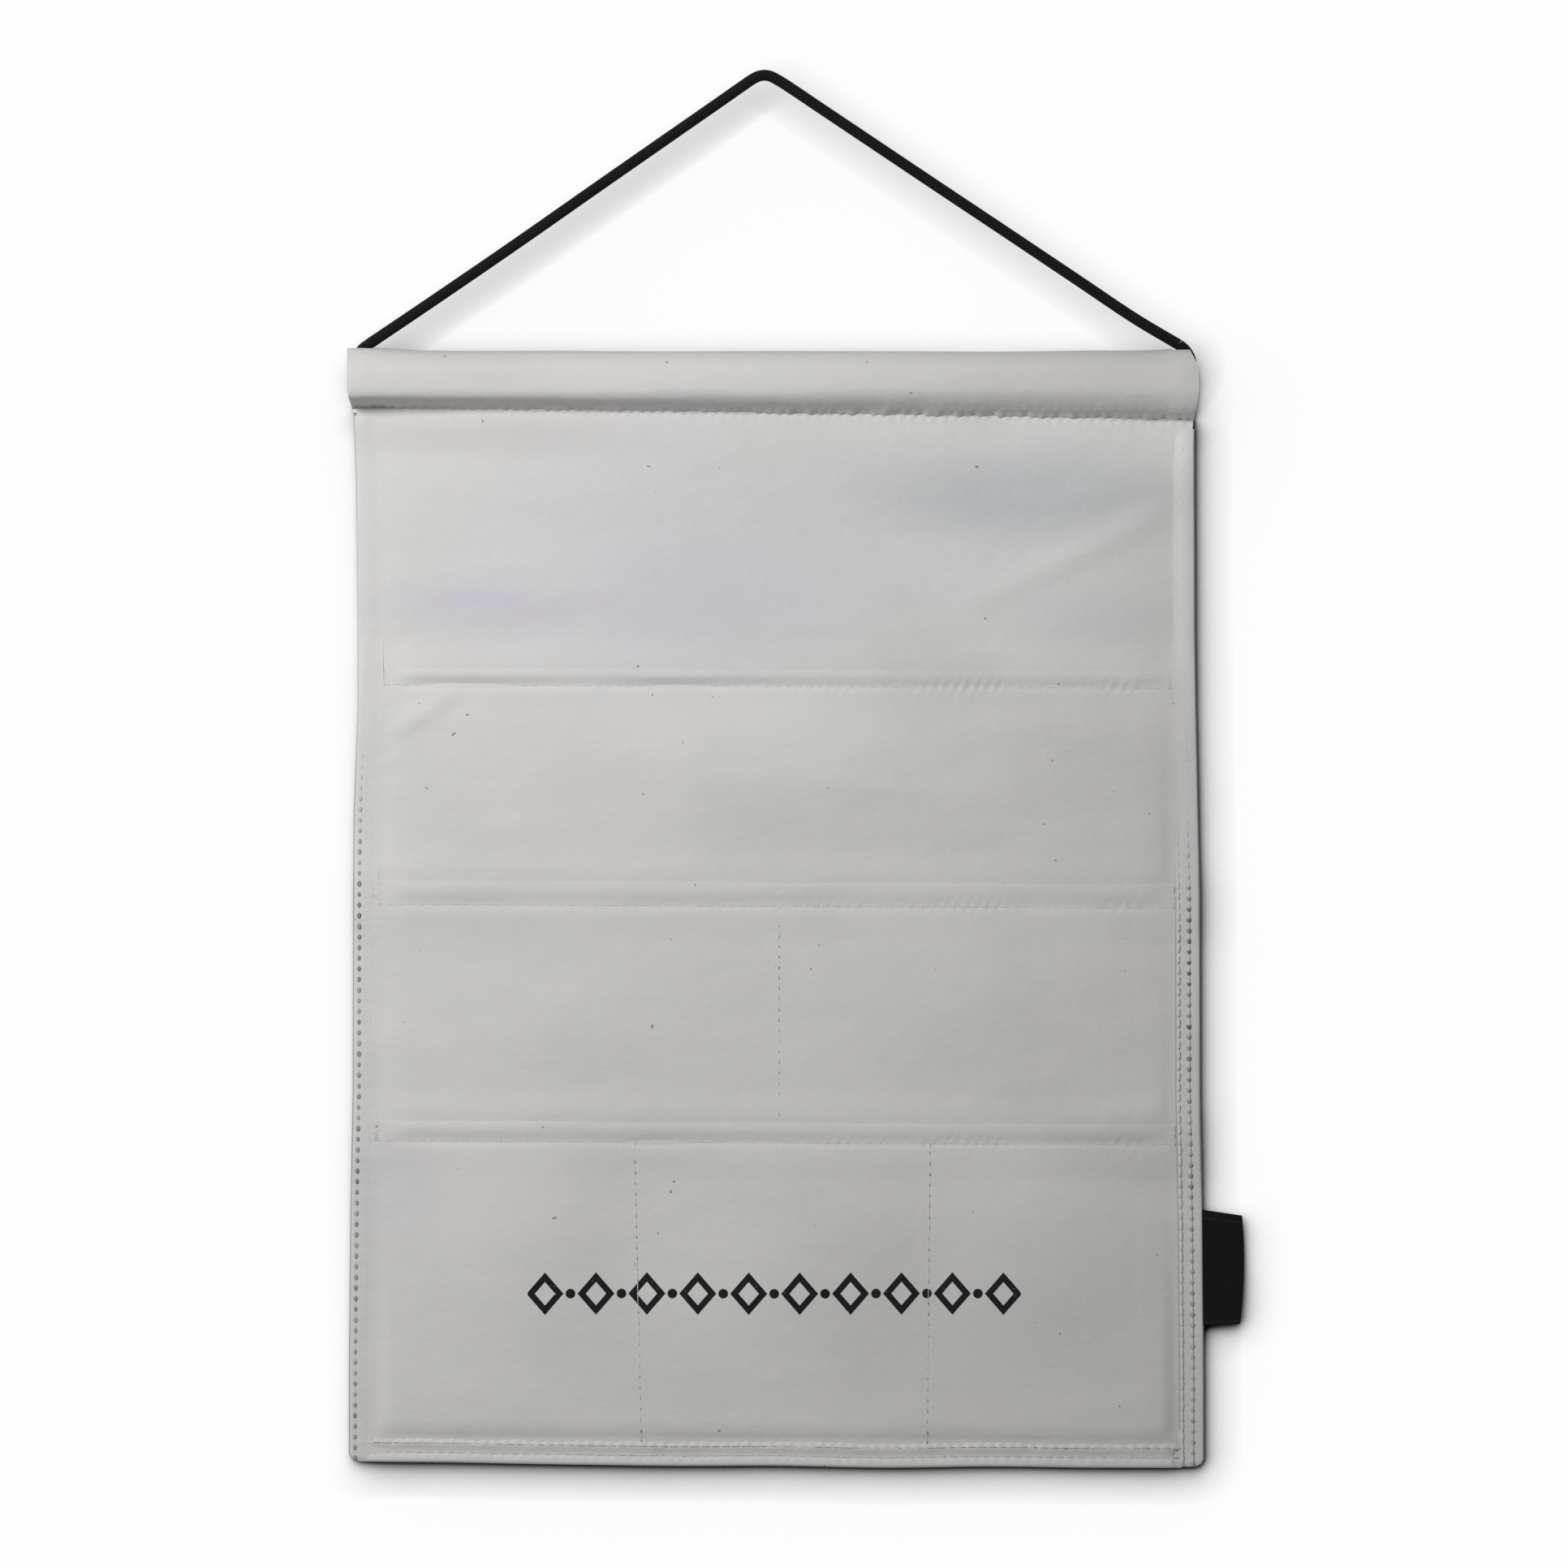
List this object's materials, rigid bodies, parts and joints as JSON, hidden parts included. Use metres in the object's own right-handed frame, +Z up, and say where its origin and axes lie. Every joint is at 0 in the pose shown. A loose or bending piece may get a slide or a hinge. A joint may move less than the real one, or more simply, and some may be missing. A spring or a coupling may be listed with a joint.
{
  "type": "hanging organizer",
  "caption": "Cloth wall organizer with rows of sewn pockets on a rod in a sleeve, hung by a cord that runs through the rod.",
  "frame": {"origin": "where the cord rests on its hook, at the underside of the cord's top bend", "axes": "+Z up, +X to the viewer's right, -Y towards the viewer, +Y towards the wall"},
  "size_m": [0.3687, 0.0198, 0.5745],
  "materials": {
    "canvas": "matt, light grey coated canvas",
    "binding": "matt, light grey coated canvas",
    "thread": "grey polyester thread",
    "cord": "black braided cord",
    "label": "black woven tape",
    "tube": "light grey extruded plastic"
  },
  "bodies": {
    "hanger": {"hanging_cord": "cord"},
    "roll": {"rod_sleeve": "canvas", "sleeve_seam_thread": "thread", "cord_in_rod": "cord", "cord_knot": "cord"},
    "rod": {"rod": "tube"},
    "panel": {"back_panel": "canvas", "pocket_row_1": "canvas", "pocket_row_2": "canvas", "pocket_row_3": "canvas", "left_binding": "binding", "right_binding": "binding", "bottom_binding": "binding", "pocket_row_1_hem_thread": "thread", "pocket_row_2_hem_thread": "thread", "pocket_row_3_hem_thread": "thread", "pocket_row_2_middle_seam_thread": "thread", "pocket_row_2_middle_seam_rear_thread": "thread", "pocket_row_3_left_seam_thread": "thread", "pocket_row_3_left_seam_rear_thread": "thread", "pocket_row_3_right_seam_thread": "thread", "pocket_row_3_right_seam_rear_thread": "thread", "pocket_row_1_bottom_seam_thread": "thread", "pocket_row_2_bottom_seam_thread": "thread", "left_binding_outer_thread": "thread", "left_binding_inner_thread": "thread", "right_binding_outer_thread": "thread", "right_binding_inner_thread": "thread", "bottom_binding_outer_thread": "thread", "bottom_binding_inner_thread": "thread"},
    "label": {"label_tab": "label"}
  },
  "joints": [
    {"name": "cord_swing", "type": "hinge", "parent": "hanger", "child": "roll", "pos_m": [0.0037, 0, -0.1087], "axis": [1, 0, 0], "range_deg": [-95, 95]},
    {"name": "rod_turn", "type": "hinge", "parent": "roll", "child": "rod", "pos_m": [0.0037, 0, -0.1213], "axis": [1, 0, 0], "continuous": true},
    {"name": "panel_fold", "type": "hinge", "parent": "roll", "child": "panel", "pos_m": [0.0037, 0.0087, -0.1394], "axis": [1, 0, 0], "range_deg": [-80, 80]},
    {"name": "label_fold", "type": "hinge", "parent": "panel", "child": "label", "pos_m": [0.1796, 0.0078, -0.4885], "axis": [0, 0, 1], "range_deg": [-90, 90], "stiffness_Nm_per_rad": 0.002}
  ]
}
